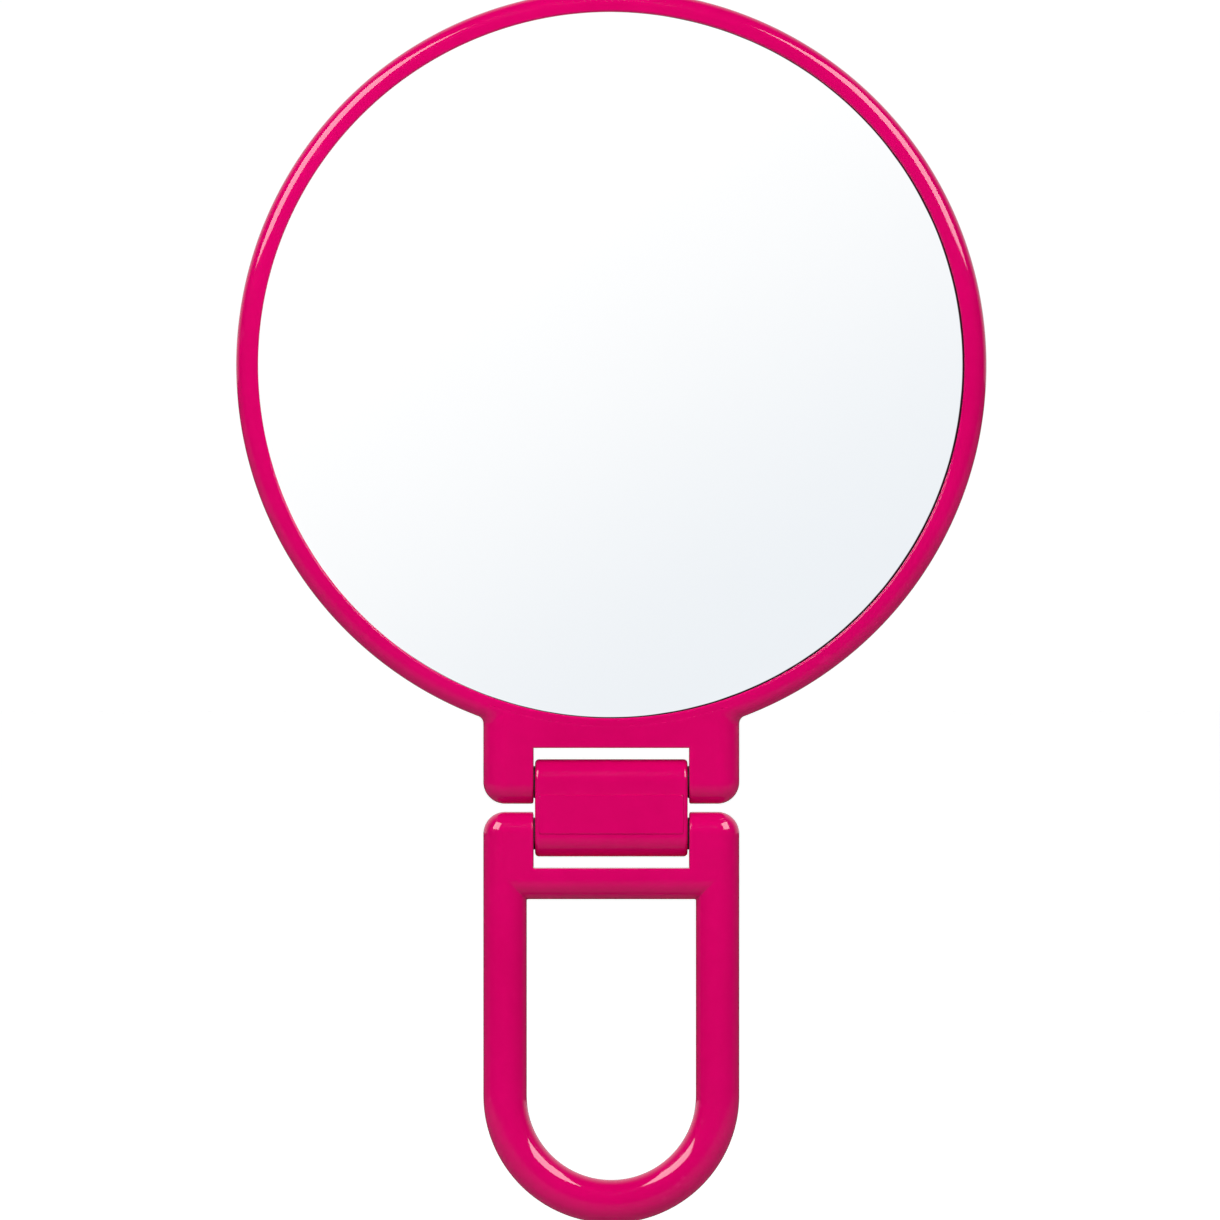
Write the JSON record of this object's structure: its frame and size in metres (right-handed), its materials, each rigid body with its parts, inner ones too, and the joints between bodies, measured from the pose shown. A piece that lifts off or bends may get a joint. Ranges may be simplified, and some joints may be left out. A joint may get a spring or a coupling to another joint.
{
  "type": "hand mirror",
  "caption": "Round two-sided hand mirror on a double hinge link, with an open loop handle that folds flat over either glass.",
  "frame": {"origin": "middle of the opening of the grip loop, on the handle's mid-plane", "axes": "+Z from the handle to the head, -Y out of the plane glass, +X to the right of someone facing that glass; both hinge axes lie along X"},
  "size_m": [0.15, 0.0098, 0.2465],
  "materials": {
    "magenta_plastic": "gloss",
    "mirror_glass": "polished, silvered behind",
    "pin_steel": "bright drawn",
    "white_acetal": "matte",
    "black_nylon": "matte",
    "black_foam": "matte foam"
  },
  "bodies": {
    "handle": {"handle_front_shell": "magenta_plastic", "handle_rear_shell": "magenta_plastic", "lower_pin": "pin_steel", "lower_washers": "black_nylon"},
    "link": {"link_body": "magenta_plastic", "link_front_plate": "magenta_plastic", "link_rear_plate": "magenta_plastic", "upper_left_bush": "white_acetal", "upper_right_bush": "white_acetal", "lower_left_bush": "white_acetal", "lower_right_bush": "white_acetal"},
    "head": {"head_front_frame": "magenta_plastic", "head_rear_frame": "magenta_plastic", "front_glass": "mirror_glass", "magnifying_glass": "mirror_glass", "glass_spacer": "white_acetal", "front_foam_ring": "black_foam", "rear_foam_ring": "black_foam", "upper_pin": "pin_steel", "upper_washers": "black_nylon"}
  },
  "joints": [
    {"name": "lower_hinge", "type": "hinge", "parent": "handle", "child": "link", "pos_m": [0, 0, 0.0412], "axis": [1, 0, 0], "range_deg": [-90, 90]},
    {"name": "upper_hinge", "type": "hinge", "parent": "link", "child": "head", "pos_m": [0, 0, 0.0515], "axis": [1, 0, 0], "range_deg": [-90, 90]}
  ]
}
